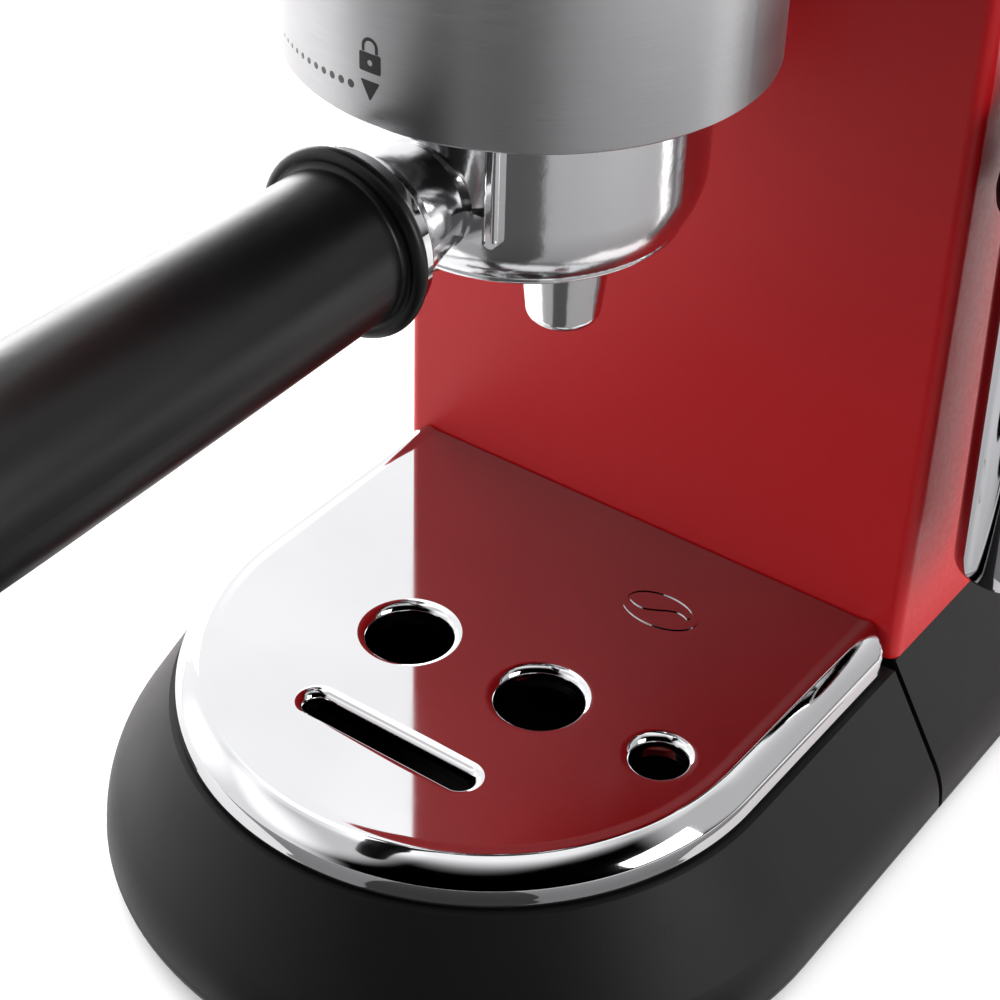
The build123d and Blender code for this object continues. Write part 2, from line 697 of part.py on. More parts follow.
def wand_grip():
    """Black heat guard on the wand, above the sleeve."""
    low = SLEEVE_TOP + 1.4
    high = low + 20
    collar_low, collar_high = (13.7, low + 1.2), (13.4, high - 1.6)
    outline = [
        Line((3.4, low), (12.7, low)),
        ThreePointArc((12.7, low), (13.4, low + 0.4), collar_low),
        Spline([collar_low, (14.0, low + 4), (13.3, low + 9), (13.8, low + 14), collar_high]),
        ThreePointArc(collar_high, (12.6, high - 0.4), (11.0, high)),
        Spline([(11.0, high), (7.4, high + 2.2), (6.2, high + 6)]),
        Line((6.2, high + 6), (5.8, high + 22)),
        ThreePointArc((5.8, high + 22), (5.2, high + 23.4), (3.4, high + 24)),
        Line((3.4, high + 24), (3.4, low)),
    ]
    guard = Pos(WAND_X, WAND_Y, 0) * revolve(Plane.XZ * make_face(outline), Axis.Z)
    for level in (low + 15.4, low + 17.0):
        guard -= disc(WAND_X, WAND_Y, level, level + 0.6, 20) - disc(WAND_X, WAND_Y, level, level + 0.6, 12.9)
    return guard


def froth_sleeve():
    """Chrome sleeve pushed over the nozzle from below."""
    points = [
        (8.6, SLEEVE_BOTTOM),
        (9.9, SLEEVE_BOTTOM),
        (10.4, SLEEVE_BOTTOM + 0.8),
        (11.9, SLEEVE_TOP - 1),
        (11.4, SLEEVE_TOP),
        (6.0, SLEEVE_TOP),
        (6.0, SLEEVE_TOP - 6),
        (8.6, SLEEVE_TOP - 10),
    ]
    return turned(points, WAND_X, WAND_Y)


def froth_nozzle():
    """Black nozzle at the end of the steam tube."""
    points = [(1.0, 68.0), (3.6, 68.0), (5.2, 74.0), (5.2, 90.0), (3.4, 92.0), (3.4, 72.0), (1.0, 72.0)]
    return turned(points, WAND_X, WAND_Y)


# Top


def control_panel():
    """Polished top plate over the head, with three round button wells and board posts."""
    low, high = LID_PLATE_BOTTOM, HEAD_TOP + 0.9
    panel = nose_plan(BODY_HALF - SHEET - 0.3, GROUP_Y, -26, low, high)
    for x in BUTTONS.values():
        panel -= disc(x, BUTTON_Y, 280, 310, BUTTON_R + 0.4)
    for x, y in ((-40, -48), (40, -48), (-22, -99), (22, -99)):
        panel += disc(x, y, 283.6, low, 2.5)
    return panel


def control_board():
    """Circuit board with the three push switches."""
    board = nose_plan(45, GROUP_Y, -42, 282, 283.6)
    for x in BUTTONS.values():
        board += block((x - 4, BUTTON_Y - 4, 283.6), (x + 4, BUTTON_Y + 4, 286.2))
    return board


def button(x):
    """Round push button with a flange that keeps it under the panel."""
    cap = disc(x, BUTTON_Y, 290, HEAD_TOP + 2.4, BUTTON_R)
    cap = fillet(cap.edges().sort_by(Axis.Z)[-1], 0.8)
    return cap + disc(x, BUTTON_Y, 288.4, 291, BUTTON_R + 1.8)


def cup_warmer():
    """Steel cup shelf on the top with a low rim and pressed ribs."""
    low, high = LID_PLATE_BOTTOM, HEAD_TOP
    half = BODY_HALF - SHEET - 0.3
    plate = rounded_plan(half, -25.6, BODY_REAR + 1.6, 0, 0, low, high)
    rim = rounded_plan(half, -25.6, BODY_REAR + 1.6, 4, 4, high, HEIGHT)
    rim -= rounded_plan(half - 2.6, -23.0, BODY_REAR - 1.0, 3, 3, high - 1, HEIGHT + 1)
    plate += rim
    for i in range(7):
        y = -6 + i * 19
        plate += Pos(0, y, high) * extrude(SlotOverall(88, 5), 0.9)
    return plate


# Water side


def water_tank():
    """Clear lift-out tank with an outlet spigot in its floor."""
    outer = rounded_plan(TANK_HALF, TANK_FRONT, TANK_REAR, 3, TANK_CORNER_R, TANK_BOTTOM, TANK_TOP)
    inner = rounded_plan(
        TANK_HALF - TANK_WALL, TANK_FRONT + TANK_WALL, TANK_REAR - TANK_WALL,
        1.5, TANK_CORNER_R - TANK_WALL, TANK_BOTTOM + TANK_WALL, TANK_TOP + 1,
    )
    tank = outer - inner
    for low in (-30, 20):
        tank += rod_x(low, low + 10, HINGE_Y, HINGE_Z, 2.0)
        tank += block((low, TANK_REAR - 1, 282), (low + 10, HINGE_Y, 286))
        tank -= rod_x(low - 1, low + 11, HINGE_Y, HINGE_Z, 1.0)
    tank += disc(0, TANK_VALVE_Y, 30, TANK_BOTTOM + TANK_WALL, 6.9)
    return tank - disc(0, TANK_VALVE_Y, 29, TANK_BOTTOM + 5, 5.0)


def tank_valve():
    """Spring valve plunger in the tank's outlet."""
    stem = disc(0, TANK_VALVE_Y, 31, 44, 2.2)
    return stem + disc(0, TANK_VALVE_Y, 41, 44, 6.4) + disc(0, TANK_VALVE_Y, 31, 34, 4.6)


def tank_lid():
    """Black hinged lid over the water tank."""
    low, high = TANK_TOP + 0.4, HEAD_TOP - 0.6
    lid = rounded_plan(TANK_HALF, TANK_FRONT, TANK_REAR, 2, TANK_CORNER_R, low, high)
    lid -= rounded_plan(
        TANK_HALF - 2, TANK_FRONT + 2, TANK_REAR - 2, 1, TANK_CORNER_R - 2, low - 1, high - 2
    )
    lid -= Pos(0, TANK_FRONT - 6, high + 4) * Rot(0, 90, 0) * Cylinder(12, 40)
    for side in (-1, 1):
        ends = sorted((side * 30.3, side * 40))
        pin_ends = sorted((side * 21, side * 31))
        lid += rod_x(*ends, HINGE_Y, HINGE_Z, 2.0) + rod_x(*pin_ends, HINGE_Y, HINGE_Z, 0.95)
        lid += block((ends[0], TANK_REAR - 1, low + 0.3), (ends[1], HINGE_Y, HINGE_Z + 1.9))
    return lid


def tank_seat():
    """Socket in the base's platform that takes the tank's spigot."""
    seat = disc(0, TANK_VALVE_Y, 22, SKIRT_TOP, 13.8)
    seat += disc(0, TANK_VALVE_Y, 19, 22, 4.6)
    seat -= disc(0, TANK_VALVE_Y, 26, 40, 7.3)
    seat -= disc(0, TANK_VALVE_Y, 31.0, 33.0, 9.2)
    seat -= disc(0, TANK_VALVE_Y, 15, 30, 2.0)
    return seat


def tank_seal():
    """Rubber ring round the spigot."""
    return disc(0, TANK_VALVE_Y, 31.05, 32.95, 9.15) - disc(0, TANK_VALVE_Y, 30, 34, 7.2)


def pump():
    """Vibration pump: coil frame, core tube, outlet nut and inlet barb."""
    body = disc(0, PUMP_Y, 54, 160, 10.8)
    body += block((-22, PUMP_Y - 23, 78), (22, PUMP_Y + 23, 134))
    body = fillet(body.edges().filter_by(Axis.Z).filter_by_position(Axis.Z, 70, 140), 4)
    body += extrude(Pos(0, PUMP_Y, 153) * RegularPolygon(12.5, 6), 8)
    body += disc(0, PUMP_Y, 46, 54, 3.6) + disc(0, PUMP_Y, 161, 166, 4.2)
    return body - disc(0, PUMP_Y, 40, 170, 1.8)


def pump_mounts():
    """Two rubber rings between the pump and the frame's cross bars."""
    rings = [
        disc(0, PUMP_Y, low, low + 8, 18) - disc(0, PUMP_Y, low - 1, low + 9, 10.85)
        for low in (64, 140)
    ]
    return Compound(children=rings)


def flow_meter():
    """Small turbine meter in the suction line under the tank seat."""
    body = disc(0, 110, PLATE_TOP + 0.6, 18, 12) + rod_y(0, 96, 124, HOSE_Z, 3.6)
    return body - rod_y(0, 90, 130, HOSE_Z, 1.6)


def suction_hoses():
    """Clear hoses from the tank seat to the flow meter and on to the pump."""
    rear = tube([(0, TANK_VALVE_Y, 19), (0, TANK_VALVE_Y, HOSE_Z), (0, 124, HOSE_Z)], 6.5, 3.4, 1.8)
    front = tube([(0, 96, HOSE_Z), (0, PUMP_Y, HOSE_Z), (0, PUMP_Y, 46)], 12, 3.4, 1.8)
    return Compound(children=[rear, front])


# Mains side


def power_switch():
    """Rocker on its two pins, tipped to the off side."""
    y = BASE_REAR - 5.5
    rocker = rod_x(SWITCH_X - 9.7, SWITCH_X + 9.7, y, SWITCH_Z, 6.4)
    rocker -= block((SWITCH_X - 12, y - 10, SWITCH_Z - 8), (SWITCH_X + 12, y - 2.2, SWITCH_Z + 8))
    for tilt in (-24, 8):
        face = Pos(0, 9.4, 0) * Box(24, 8, 30)
        rocker -= Pos(SWITCH_X, y, SWITCH_Z) * Rot(tilt, 0, 0) * face
    return rocker + rod_x(SWITCH_X - 10.8, SWITCH_X + 10.8, y, SWITCH_Z, 1.5)


def switch_body():
    """Switch case clipped inside the base, with the cheeks that hold the rocker's pins."""
    y = BASE_REAR - 5.5
    body = block((SWITCH_X - 11.8, 156, SWITCH_Z - 6), (SWITCH_X + 11.8, y - 7.2, SWITCH_Z + 6))
    for low, high in ((-11.8, -10.0), (10.0, 11.8)):
        cheek = block((SWITCH_X + low, y - 8, SWITCH_Z - 6), (SWITCH_X + high, BASE_REAR, SWITCH_Z + 6))
        body += cheek
    return body - rod_x(SWITCH_X - 11, SWITCH_X + 11, y, SWITCH_Z, 1.56)


def cable_gland():
    """Round bush in the rear wall where a mains lead would enter."""
    gland = rod_y(GLAND_X, 174, BASE_REAR, GLAND_Z, 6.0)
    gland += rod_y(GLAND_X, BASE_REAR, BASE_REAR + 2.4, GLAND_Z, 8)
    gland += rod_y(GLAND_X, 174, BASE_REAR - SKIRT_WALL, GLAND_Z, 7.2)
    return gland - rod_y(GLAND_X, 170, 190, GLAND_Z, 3.6)


os.makedirs("parts", exist_ok=True)

save("base_skirt", base_skirt())
save("base_plate", base_plate())
save("base_screws", base_screws())
for foot_name, (foot_x, foot_y) in FEET.items():
    save(foot_name, foot(foot_x, foot_y))
save("drip_tray", drip_tray())
save("tray_cover", tray_cover())
save("tray_float", tray_float())
save("housing_shell", housing_shell())
save("rear_panel", rear_panel())
save("head_floor", head_floor())
save("group_shroud", group_shroud())
save("inner_frame", inner_frame())
save("group_head", group_head())
save("group_gasket", group_gasket())
save("shower_screen", shower_screen())
save("shower_screw", shower_screw())
save("thermoblock", thermoblock())
save("group_bolts", group_bolts())
save("thermostats", thermostats())
save("portafilter_bowl", portafilter_bowl())
save("filter_basket", filter_basket())
save("spout_left", spout(-1))
save("spout_right", spout(1))
save("handle_ferrule", handle_ferrule())
save("handle_grip", handle_grip())
save("handle_rod", handle_rod())
save("handle_end_cap", handle_end_cap())
save("steam_valve", steam_valve())
save("knob_shaft", knob_shaft())
save("steam_knob", steam_knob())
save("knob_cap", knob_cap())
save("wand_socket", wand_socket())
save("wand_tube", wand_tube())
save("wand_grip", wand_grip())
save("froth_sleeve", froth_sleeve())
save("froth_nozzle", froth_nozzle())
save("control_panel", control_panel())
save("control_board", control_board())
for button_name, button_x in BUTTONS.items():
    save(button_name, button(button_x))
save("cup_warmer", cup_warmer())
save("water_tank", water_tank())
save("tank_valve", tank_valve())
save("tank_lid", tank_lid())
save("tank_seat", tank_seat())
save("tank_seal", tank_seal())
save("pump", pump())
save("pump_mounts", pump_mounts())
save("flow_meter", flow_meter())
save("suction_hoses", suction_hoses())
save("pressure_hose", tube([(0, PUMP_Y, 166), (0, PUMP_Y, 246.5), (0, -18.4, 246.5)], 14, 3.4, 1.6))
save(
    "steam_feed_pipe",
    tube([(8, -50, 262), (8, -50, 276), (8, 20, 276), (8, 20, KNOB_Z), (22, 20, KNOB_Z)], 6, 2.6, 1.4),
)
save(
    "steam_outlet_pipe",
    tube([(40, 20, 246), (40, 20, 216), (40, WAND_Y, 216), (55, WAND_Y, 216)], 7, 2.6, 1.4),
)
save("power_switch", power_switch())
save("switch_body", switch_body())
save("cable_gland", cable_gland())
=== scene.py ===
import json
import math

import bmesh
import bpy
from mathutils import Matrix, Vector


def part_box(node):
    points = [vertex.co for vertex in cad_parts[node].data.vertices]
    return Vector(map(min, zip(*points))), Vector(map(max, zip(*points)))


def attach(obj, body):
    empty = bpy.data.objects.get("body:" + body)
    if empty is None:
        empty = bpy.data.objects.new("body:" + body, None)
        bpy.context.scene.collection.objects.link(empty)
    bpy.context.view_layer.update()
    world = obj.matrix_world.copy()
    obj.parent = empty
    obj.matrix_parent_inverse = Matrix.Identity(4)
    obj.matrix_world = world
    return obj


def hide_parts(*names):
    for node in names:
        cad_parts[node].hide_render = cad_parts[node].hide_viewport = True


# Looks of a slim pump espresso machine. Metres, in the frame of the CAD model.
# Pieces are placed by the boxes of the CAD nodes. The cover's outline, the heights of the
# marks, the camera and the lights are given as numbers. MM turns millimetres into metres.

MM = 0.001

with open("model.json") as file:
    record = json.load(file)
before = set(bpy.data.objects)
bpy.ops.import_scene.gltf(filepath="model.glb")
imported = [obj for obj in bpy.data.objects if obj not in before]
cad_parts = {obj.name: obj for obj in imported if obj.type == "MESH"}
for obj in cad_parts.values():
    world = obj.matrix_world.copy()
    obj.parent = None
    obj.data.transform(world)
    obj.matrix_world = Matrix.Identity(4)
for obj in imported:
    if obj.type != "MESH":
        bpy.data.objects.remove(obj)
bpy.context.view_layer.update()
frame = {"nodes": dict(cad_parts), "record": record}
NODES = frame["nodes"]


# Places read from the frame


def middle(node):
    """Centre of a CAD node's box."""
    low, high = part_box(node)
    return (low + high) / 2


GROUP = middle("group_shroud")
GROUP_R = (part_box("group_shroud")[1].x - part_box("group_shroud")[0].x) / 2


# Camera, light and floor

CAMERA_PLACE = Vector((199.3, -339.0, 346.8)) * MM
CAMERA_AZIMUTH = math.radians(35.60)
CAMERA_ELEVATION = math.radians(37.155)
CAMERA_ROLL = math.radians(1.408)
CAMERA_LENS = 86.76
CAMERA_SENSOR = 36.0
CAMERA_CLIP = 0.01
CAMERA_SHIFT = (0.01996, 0.01815)


def make_camera():
    """Camera at the photograph's viewing angle."""
    azimuth, elevation, roll = CAMERA_AZIMUTH, CAMERA_ELEVATION, CAMERA_ROLL
    back = Vector(
        (
            math.sin(azimuth) * math.cos(elevation),
            -math.cos(azimuth) * math.cos(elevation),
            math.sin(elevation),
        )
    )
    right = (-back).cross(Vector((0, 0, 1))).normalized()
    up = right.cross(-back).normalized()
    right_rolled = right * math.cos(roll) + up * math.sin(roll)
    up_rolled = -right * math.sin(roll) + up * math.cos(roll)
    data = bpy.data.cameras.new("camera")
    data.lens = CAMERA_LENS
    data.sensor_width = CAMERA_SENSOR
    data.shift_x, data.shift_y = CAMERA_SHIFT
    data.clip_start = CAMERA_CLIP
    camera = bpy.data.objects.new("camera", data)
    bpy.context.scene.collection.objects.link(camera)
    columns = Matrix((right_rolled, up_rolled, back)).transposed()
    camera.matrix_world = Matrix.Translation(CAMERA_PLACE) @ columns.to_4x4()
    bpy.context.scene.camera = camera


def area_light(name, place, target, size, power):
    """A white rectangular soft box aimed at a point; its power is in watts."""
    data = bpy.data.lights.new(name, "AREA")
    data.shape = "RECTANGLE"
    data.size, data.size_y = size
    data.energy = power
    lamp = bpy.data.objects.new(name, data)
    bpy.context.scene.collection.objects.link(lamp)
    lamp.location = place
    lamp.rotation_euler = (Vector(target) - Vector(place)).to_track_quat("-Z", "Y").to_euler()


# Each glow is a direction, the cosines where it starts and is full, and its brightness.
GLOWS = [
    ((-0.62, 0.74, 0.25), 0.15, 0.65, 1.85),
    ((-0.75, -0.65, 0.10), 0.72, 0.95, 1.50),
    ((0.00, 0.10, 1.00), 0.72, 0.95, 1.35),
    ((-0.42, -0.50, 0.76), 0.86, 0.95, 1.10),
    ((0.12, -0.20, 0.97), 0.86, 0.96, 0.50),
    ((0.62, 0.60, 0.50), 0.84, 0.95, 0.90),
]


def make_world():
    """Dark surround with a broad glow behind on the left, and smaller ones left, above and right."""
    world = bpy.data.worlds.new("surround")
    bpy.context.scene.world = world
    world.use_nodes = True
    tree = world.node_tree
    direction = tree.nodes.new("ShaderNodeTexCoord").outputs["Generated"]
    total = None
    for aim, start, full, strength in GLOWS:
        dot = tree.nodes.new("ShaderNodeVectorMath")
        dot.operation = "DOT_PRODUCT"
        dot.inputs[1].default_value = Vector(aim).normalized()
        tree.links.new(direction, dot.inputs[0])
        ramp = tree.nodes.new("ShaderNodeMapRange")
        ramp.interpolation_type = "SMOOTHSTEP"
        ramp.inputs["From Min"].default_value = start
        ramp.inputs["From Max"].default_value = full
        ramp.inputs["To Max"].default_value = strength
        tree.links.new(dot.outputs["Value"], ramp.inputs["Value"])
        glow = ramp.outputs["Result"]
        if total:
            add = tree.nodes.new("ShaderNodeMath")
            add.operation = "ADD"
            tree.links.new(glow, add.inputs[0])
            tree.links.new(total, add.inputs[1])
            glow = add.outputs["Value"]
        total = glow
    background = tree.nodes["Background"]
    background.inputs["Color"].default_value = (1, 1, 1, 1)
    tree.links.new(total, background.inputs["Strength"])


def make_lights():
    """Soft boxes behind on the left and at the right, and plain colour management."""
    area_light(
        "softbox_left", place=(-0.9, 0.5, 0.25), target=(GROUP.x, GROUP.y, 0.15), size=(0.9, 0.5), power=9.0
    )
    area_light(
        "softbox_right", place=(1.05, 0.08, 0.45), target=(0.054, 0.08, 0.17), size=(0.5, 0.5), power=7.5
    )
    view = bpy.context.scene.view_settings
    view.view_transform = "Standard"
    view.look = "None"


def link(name, mesh):
    """Add a mesh to the scene as an object."""
    piece = bpy.data.objects.new(name, mesh)
    bpy.context.scene.collection.objects.link(piece)
    return piece


def sheet(name, corners, height, material, seen):
    """A flat stage sheet: seen by the camera, or only in reflections and bounced light."""
    mesh = bpy.data.meshes.new(name)
    mesh.from_pydata([(x, y, height) for x, y in corners], [], [tuple(range(len(corners)))])
    piece = link(name, mesh)
    mesh.materials.append(material)
    piece.visible_camera = seen
    piece.visible_transmission = seen
    piece.visible_diffuse = not seen
    piece.visible_glossy = not seen
    piece.visible_shadow = not seen


FLOOR_CORNERS = [(-3, -3), (3, -3), (3, 3), (-3, 3)]
FLOOR_GLOW = 0.26
CARD_CORNERS = [
    (-0.6, -1.2),
    (0.6, -1.2),
    (0.6, 0.3),
    (0.115, 0.06),
    (0.115, -0.035),
    (-0.09, -0.19),
    (-0.6, -0.45),
]
WEDGE_CORNERS = [(0.0, -0.13), (0.2, -1.1), (0.8, -0.85), (0.08, -0.12), (0.03, -0.105)]
WEDGE_HEIGHT = -0.5 * MM
CARD_HEIGHT = -1.0 * MM
BOUNCE_HEIGHT = -1.5 * MM


def make_floor():
    """Plain pale floor. A second one and two grey cards just under it show only in reflected light."""
    paper = plain_material("floor_paper", (0.88, 0.88, 0.88), 0.7)
    shader = paper.node_tree.nodes["Principled BSDF"]
    shader.inputs["Emission Color"].default_value = (1, 1, 1, 1)
    shader.inputs["Emission Strength"].default_value = FLOOR_GLOW
    sheet("floor", FLOOR_CORNERS, 0.0, paper, seen=True)
    sheet("floor_bounce", FLOOR_CORNERS, BOUNCE_HEIGHT, paper, seen=False)
    grey = plain_material("card_grey", (0.26, 0.26, 0.263), 0.8)
    sheet("card_grey", CARD_CORNERS, CARD_HEIGHT, grey, seen=False)
    dark = plain_material("card_dark", (0.035, 0.035, 0.036), 0.8)
    sheet("card_dark", WEDGE_CORNERS, WEDGE_HEIGHT, dark, seen=False)


# Materials. Colours are linear. A noise's scale is in cells per metre, unless its
# coordinates are stretched first, as in the brushed metals. Depths are in metres.

NOISE_RANGE = (0.25, 0.75)
TINT_RANGE = (0.3, 0.7)


class Graph:
    """Small helper that adds and wires shader nodes."""

    def __init__(self, name):
        self.material = bpy.data.materials.new(name)
        self.material.use_nodes = True
        self.tree = self.material.node_tree
        self.shader = self.tree.nodes["Principled BSDF"]

    def node(self, kind, **settings):
        made = self.tree.nodes.new(kind)
        for key, value in settings.items():
            setattr(made, key, value)
        return made

    def wire(self, source, target):
        self.tree.links.new(source, target)

    def set(self, **values):
        for key, value in values.items():
            name = key.replace("_", " ").title().replace("Ior", "IOR")
            self.shader.inputs[name].default_value = value

    def coordinates(self, offset=(0, 0, 0), scale=(1, 1, 1)):
        """Object coordinates moved by -offset and then scaled."""
        source = self.node("ShaderNodeTexCoord").outputs["Object"]
        mapping = self.node("ShaderNodeMapping", vector_type="POINT")
        mapping.inputs["Location"].default_value = [-o * s for o, s in zip(offset, scale)]
        mapping.inputs["Scale"].default_value = scale
        self.wire(source, mapping.inputs["Vector"])
        return mapping.outputs["Vector"]

    def noise(self, vector, scale, detail=2.0, roughness=0.5):
        noise = self.node("ShaderNodeTexNoise")
        noise.inputs["Scale"].default_value = scale
        noise.inputs["Detail"].default_value = detail
        noise.inputs["Roughness"].default_value = roughness
        self.wire(vector, noise.inputs["Vector"])
        return noise.outputs["Fac"]

    def spread(self, value, low, high):
        """Map the middle of a noise's values to a range."""
        ranger = self.node("ShaderNodeMapRange")
        ranger.inputs["From Min"].default_value = NOISE_RANGE[0]
        ranger.inputs["From Max"].default_value = NOISE_RANGE[1]
        ranger.inputs["To Min"].default_value = low
        ranger.inputs["To Max"].default_value = high
        self.wire(value, ranger.inputs["Value"])
        return ranger.outputs["Result"]

    def tint(self, value, dark, light):
        """Blend two colours by a 0..1 value and send the result to the base colour."""
        ramp = self.node("ShaderNodeValToRGB")
        for element, position, colour in zip(ramp.color_ramp.elements, TINT_RANGE, (dark, light)):
            element.position = position
            element.color = (*colour, 1)
        self.wire(value, ramp.inputs["Fac"])
        self.wire(ramp.outputs["Color"], self.shader.inputs["Base Color"])

    def rough(self, value, low, high):
        self.wire(self.spread(value, low, high), self.shader.inputs["Roughness"])

    def bump(self, value, depth, strength=1.0, below=None):
        """Bump of a depth in metres; below is another bump's output to add to."""
        bump = self.node("ShaderNodeBump")
        bump.inputs["Strength"].default_value = strength
        bump.inputs["Distance"].default_value = depth
        self.wire(value, bump.inputs["Height"])
        if below:
            self.wire(below, bump.inputs["Normal"])
        self.wire(bump.outputs["Normal"], self.shader.inputs["Normal"])
        return bump.outputs["Normal"]


def plain_material(name, colour, roughness):
    """Matt stage material."""
    g = Graph(name)
    g.set(base_color=(*colour, 1), roughness=roughness)
    return g.material


def red_paint():
    """Satin red paint with a fine powder grain."""
    g = Graph("red_paint")
    g.set(specular_ior_level=0.28)
    p = g.coordinates()
    g.tint(g.noise(p, scale=14, detail=3), (0.500, 0.0045, 0.0085), (0.540, 0.0065, 0.0105))
    g.rough(g.noise(p, scale=900), 0.34, 0.46)
    grain = g.bump(g.noise(p, scale=3200, detail=3, roughness=0.6), depth=0.00003, strength=0.35)
    g.bump(g.noise(p, scale=160, detail=1), depth=0.00006, strength=0.2, below=grain)
    return g.material


def brushed_round(name, centre, colour_low, colour_high):
    """Steel brushed round an upright cylinder."""
    g = Graph(name)
    g.set(metallic=1.0, anisotropic=0.65)
    p = g.coordinates(offset=centre)
    parts = g.node("ShaderNodeSeparateXYZ")
    g.wire(p, parts.inputs["Vector"])
    angle = g.node("ShaderNodeMath", operation="ARCTAN2")
    g.wire(parts.outputs["Y"], angle.inputs[0])
    g.wire(parts.outputs["X"], angle.inputs[1])
    joined = g.node("ShaderNodeCombineXYZ")
    g.wire(angle.outputs["Value"], joined.inputs["X"])
    g.wire(parts.outputs["Z"], joined.inputs["Y"])

    def streaks(scale, detail, roughness):
        mapping = g.node("ShaderNodeMapping", vector_type="POINT")
        mapping.inputs["Scale"].default_value = scale
        g.wire(joined.outputs["Vector"], mapping.inputs["Vector"])
        return g.noise(mapping.outputs["Vector"], 1.0, detail, roughness)

    fine = streaks((5.0, 6500, 1), detail=3, roughness=0.65)
    g.tint(streaks((3.0, 5600, 1), detail=2, roughness=0.5), colour_low, colour_high)
    g.rough(fine, 0.26, 0.40)
    g.bump(fine, depth=0.000004, strength=0.20)
    normal = g.node("ShaderNodeNewGeometry").outputs["Normal"]
    cross = g.node("ShaderNodeVectorMath", operation="CROSS_PRODUCT")
    cross.inputs[0].default_value = (0, 0, 1)
    g.wire(normal, cross.inputs[1])
    g.wire(cross.outputs["Vector"], g.shader.inputs["Tangent"])
    return g.material


def brushed_flat(name, low, high, rough):
    """Steel sheet brushed along X."""
    g = Graph(name)
    g.set(metallic=1.0, anisotropic=0.4)
    fine = g.noise(g.coordinates(scale=(18, 2600, 18)), 1.0, detail=3, roughness=0.6)
    g.tint(g.noise(g.coordinates(scale=(6, 400, 6)), 1.0), low, high)
    g.rough(fine, *rough)
    g.bump(fine, depth=0.00001, strength=0.4)
    return g.material


def polished_metal(name, low, high, rough, peel):
    """Polished or plated metal; peel is the scale, depth and strength of its faint waves."""
    scale, depth, strength = peel
    g = Graph(name)
    g.set(metallic=1.0)
    p = g.coordinates()
    g.tint(g.noise(p, scale=25, detail=3), low, high)
    g.rough(g.noise(p, scale=45, detail=4, roughness=0.6), *rough)
    g.bump(g.noise(p, scale), depth, strength)
    return g.material


FINE_GRAIN = (2600, 0.00004, 0.4)


def moulded(name, low, high, rough, grain=FINE_GRAIN, specular=0.5):
    """Moulded plastic or rubber; grain is the scale, depth and strength of its texture."""
    scale, depth, strength = grain
    g = Graph(name)
    g.set(specular_ior_level=specular)
    p = g.coordinates()
    g.tint(g.noise(p, scale=18, detail=3), low, high)
    g.rough(g.noise(p, scale=60, detail=3), *rough)
    g.bump(g.noise(p, scale, roughness=0.6), depth, strength)
    return g.material


def clear_plastic():
    """Smoked clear plastic of the water tank."""
    g = Graph("tank_clear")
    g.set(ior=1.49, transmission_weight=0.92)
    p = g.coordinates()
    g.tint(g.noise(p, scale=12), (0.50, 0.55, 0.58), (0.56, 0.61, 0.64))
    g.rough(g.noise(p, scale=80, detail=3), 0.05, 0.12)
    g.bump(g.noise(p, scale=120), depth=0.00003, strength=0.2)
    return g.material


# Each look is the darkest and lightest colour and the range of roughness, then its maker's extras.
BRUSHED_LOOKS = {
    "brushed_steel": ((0.50, 0.50, 0.505), (0.60, 0.60, 0.605), (0.26, 0.38)),
    "panel_steel": ((0.56, 0.56, 0.565), (0.64, 0.64, 0.645), (0.2, 0.3)),
    "screen_steel": ((0.55, 0.55, 0.56), (0.62, 0.62, 0.63), (0.18, 0.3)),
}
POLISHED_LOOKS = {
    "polished_chrome": ((0.45, 0.45, 0.46), (0.49, 0.49, 0.50), (0.03, 0.07), (60, 0.00002, 0.12)),
    "polished_casting": ((0.74, 0.74, 0.75), (0.80, 0.80, 0.81), (0.10, 0.18), (620, 0.00008, 0.30)),
    "cast_group": ((0.48, 0.48, 0.49), (0.56, 0.56, 0.57), (0.38, 0.55), (700, 0.0001, 0.5)),
    "zinc_screws": ((0.52, 0.53, 0.56), (0.60, 0.61, 0.64), (0.2, 0.34), (400, 0.00003, 0.3)),
    "valve_brass": ((0.58, 0.40, 0.14), (0.68, 0.49, 0.20), (0.2, 0.34), (300, 0.00003, 0.3)),
}
MOULDED_LOOKS = {
    "black_matte": ((0.0050, 0.0050, 0.0052), (0.0070, 0.0070, 0.0072), (0.42, 0.50), FINE_GRAIN, 0.17),
    "black_frame": ((0.030, 0.030, 0.032), (0.040, 0.040, 0.042), (0.5, 0.62)),
    "black_gloss": ((0.012, 0.012, 0.013), (0.016, 0.016, 0.017), (0.20, 0.30), (900, 0.00002, 0.2)),
    "black_grip": (
        (0.0030, 0.0030, 0.0032), (0.0045, 0.0045, 0.0048), (0.30, 0.37), (3600, 0.00002, 0.2), 0.20
    ),
    "foot_rubber": ((0.016, 0.016, 0.016), (0.026, 0.026, 0.026), (0.75, 0.9)),
    "seal_rubber": ((0.20, 0.06, 0.04), (0.26, 0.08, 0.05), (0.55, 0.7)),
    "white_plastic": ((0.62, 0.61, 0.58), (0.70, 0.69, 0.66), (0.4, 0.52)),
    "float_plastic": ((0.42, 0.012, 0.010), (0.50, 0.018, 0.014), (0.35, 0.45)),
    "hose_silicone": ((0.58, 0.58, 0.55), (0.68, 0.68, 0.65), (0.3, 0.45)),
    "board_green": ((0.010, 0.11, 0.035), (0.016, 0.15, 0.05), (0.35, 0.5)),
    "pump_body": ((0.20, 0.19, 0.17), (0.28, 0.27, 0.24), (0.5, 0.65)),
}


def slot_materials():
    """One finished material for every material slot of the record."""
    made = {"red_paint": red_paint()}
    makers = ((brushed_flat, BRUSHED_LOOKS), (polished_metal, POLISHED_LOOKS), (moulded, MOULDED_LOOKS))
    for maker, looks in makers:
        for name, look in looks.items():
            made[name] = maker(name, *look)
    made["tank_clear"] = clear_plastic()
    return made


# Mesh pieces


